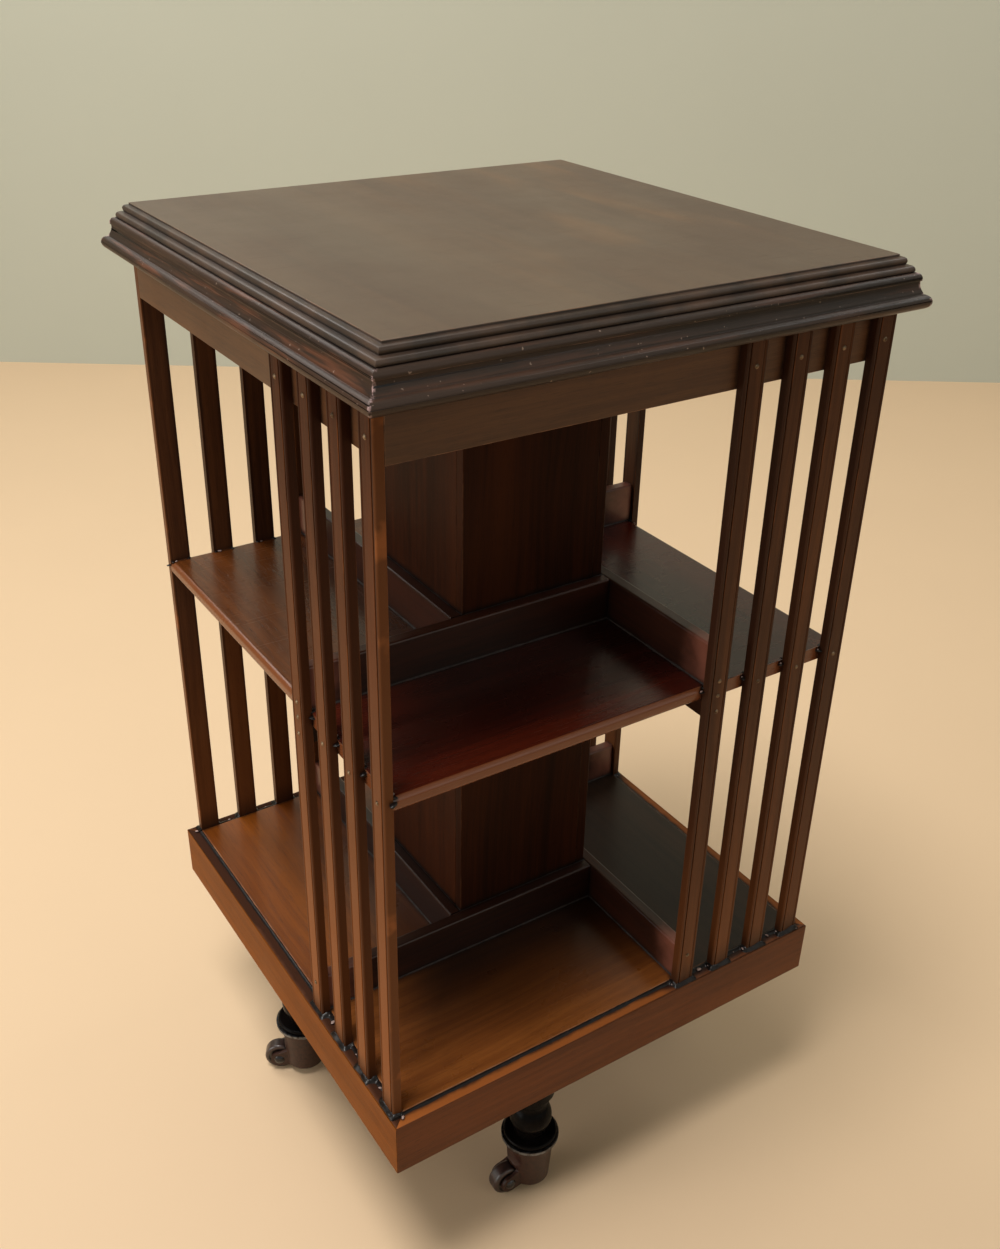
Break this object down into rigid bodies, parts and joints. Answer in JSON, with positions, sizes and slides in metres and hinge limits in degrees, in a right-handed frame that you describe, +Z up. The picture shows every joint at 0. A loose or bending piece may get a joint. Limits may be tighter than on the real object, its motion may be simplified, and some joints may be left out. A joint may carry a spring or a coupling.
{
  "type": "revolving bookcase",
  "caption": "Square two-tier revolving bookcase: slatted open sides, moulded top, shelves round a centre column, turning on a spindle over a castored cross stand.",
  "frame": {"origin": "on the floor, on the axis of the spindle", "axes": "+Z up along the spindle; the case's faces look along -Y, +X, +Y and -X"},
  "size_m": [0.4832, 0.4832, 0.883],
  "materials": {
    "mahogany_top": "satin, faded and rubbed",
    "mahogany_frame": "satin, waxed",
    "mahogany_slat": "satin, waxed",
    "mahogany_shelf": "gloss, waxed",
    "mahogany_column": "satin, waxed",
    "inner_wood": "unfinished",
    "ebonised_wood": "gloss",
    "pin_brass": "dull",
    "steel": "dull",
    "bearing_brass": "satin",
    "iron": "rough",
    "horn_paint": "worn brown japanning",
    "wheel_wood": "hard, worn"
  },
  "bodies": {
    "stand": {"stand_rail_lower": "ebonised_wood", "stand_rail_upper": "ebonised_wood", "spindle": "steel", "spindle_flange": "iron", "flange_screws": "steel", "spindle_nut": "steel", "pivot_ball": "steel", "turned_feet": "ebonised_wood", "castor_sockets": "steel"},
    "case": {"top_board": "mahogany_top", "top_moulding_front": "mahogany_top", "top_moulding_right": "mahogany_top", "top_moulding_back": "mahogany_top", "top_moulding_left": "mahogany_top", "frieze_rail_front": "mahogany_frame", "frieze_rail_right": "mahogany_frame", "frieze_rail_back": "mahogany_frame", "frieze_rail_left": "mahogany_frame", "slats_front": "mahogany_slat", "slats_right": "mahogany_slat", "slats_back": "mahogany_slat", "slats_left": "mahogany_slat", "shelf_board_front": "mahogany_shelf", "shelf_board_right": "mahogany_shelf", "shelf_board_back": "mahogany_shelf", "shelf_board_left": "mahogany_shelf", "floor_board_front": "mahogany_shelf", "floor_board_right": "mahogany_shelf", "floor_board_back": "mahogany_shelf", "floor_board_left": "mahogany_shelf", "column_panel_front": "mahogany_column", "column_panel_right": "mahogany_column", "column_panel_back": "mahogany_column", "column_panel_left": "mahogany_column", "plinth_rail_front": "mahogany_frame", "plinth_rail_right": "mahogany_frame", "plinth_rail_back": "mahogany_frame", "plinth_rail_left": "mahogany_frame", "curbs": "mahogany_column", "shelf_bearers": "mahogany_column", "slat_pins": "pin_brass", "corner_blocks": "inner_wood", "case_rail_lower": "inner_wood", "case_rail_upper": "inner_wood", "lower_bush": "bearing_brass", "bearing_block": "inner_wood", "pivot_cup": "iron", "bearing_screws": "steel"},
    "castor_front": {"castor_horn_front": "horn_paint", "castor_axle_front": "steel"},
    "wheel_front": {"castor_wheel_front": "wheel_wood"},
    "castor_right": {"castor_horn_right": "horn_paint", "castor_axle_right": "steel"},
    "wheel_right": {"castor_wheel_right": "wheel_wood"},
    "castor_back": {"castor_horn_back": "horn_paint", "castor_axle_back": "steel"},
    "wheel_back": {"castor_wheel_back": "wheel_wood"},
    "castor_left": {"castor_horn_left": "horn_paint", "castor_axle_left": "steel"},
    "wheel_left": {"castor_wheel_left": "wheel_wood"}
  },
  "joints": [
    {"name": "case_spin", "type": "hinge", "parent": "stand", "child": "case", "pos_m": [0, 0, 0.213], "axis": [0, 0, 1], "continuous": true},
    {"name": "castor_front_swivel", "type": "hinge", "parent": "stand", "child": "castor_front", "pos_m": [-0.06219, -0.18587, 0.066], "axis": [0, 0, 1], "continuous": true},
    {"name": "wheel_front_spin", "type": "hinge", "parent": "castor_front", "child": "wheel_front", "pos_m": [-0.08918, -0.18493, 0.0155], "axis": [-0.0349, -0.9994, 0], "continuous": true},
    {"name": "castor_right_swivel", "type": "hinge", "parent": "stand", "child": "castor_right", "pos_m": [0.18587, -0.06219, 0.066], "axis": [0, 0, 1], "continuous": true},
    {"name": "wheel_right_spin", "type": "hinge", "parent": "castor_right", "child": "wheel_right", "pos_m": [0.15913, -0.05843, 0.0155], "axis": [-0.1392, -0.9903, 0], "continuous": true},
    {"name": "castor_back_swivel", "type": "hinge", "parent": "stand", "child": "castor_back", "pos_m": [0.06219, 0.18587, 0.066], "axis": [0, 0, 1], "continuous": true},
    {"name": "wheel_back_spin", "type": "hinge", "parent": "castor_back", "child": "wheel_back", "pos_m": [0.03716, 0.19599, 0.0155], "axis": [-0.3746, -0.9272, 0], "continuous": true},
    {"name": "castor_left_swivel", "type": "hinge", "parent": "stand", "child": "castor_left", "pos_m": [-0.18587, 0.06219, 0.066], "axis": [0, 0, 1], "continuous": true},
    {"name": "wheel_left_spin", "type": "hinge", "parent": "castor_left", "child": "wheel_left", "pos_m": [-0.20925, 0.07569, 0.0155], "axis": [-0.5, -0.866, 0], "continuous": true}
  ]
}
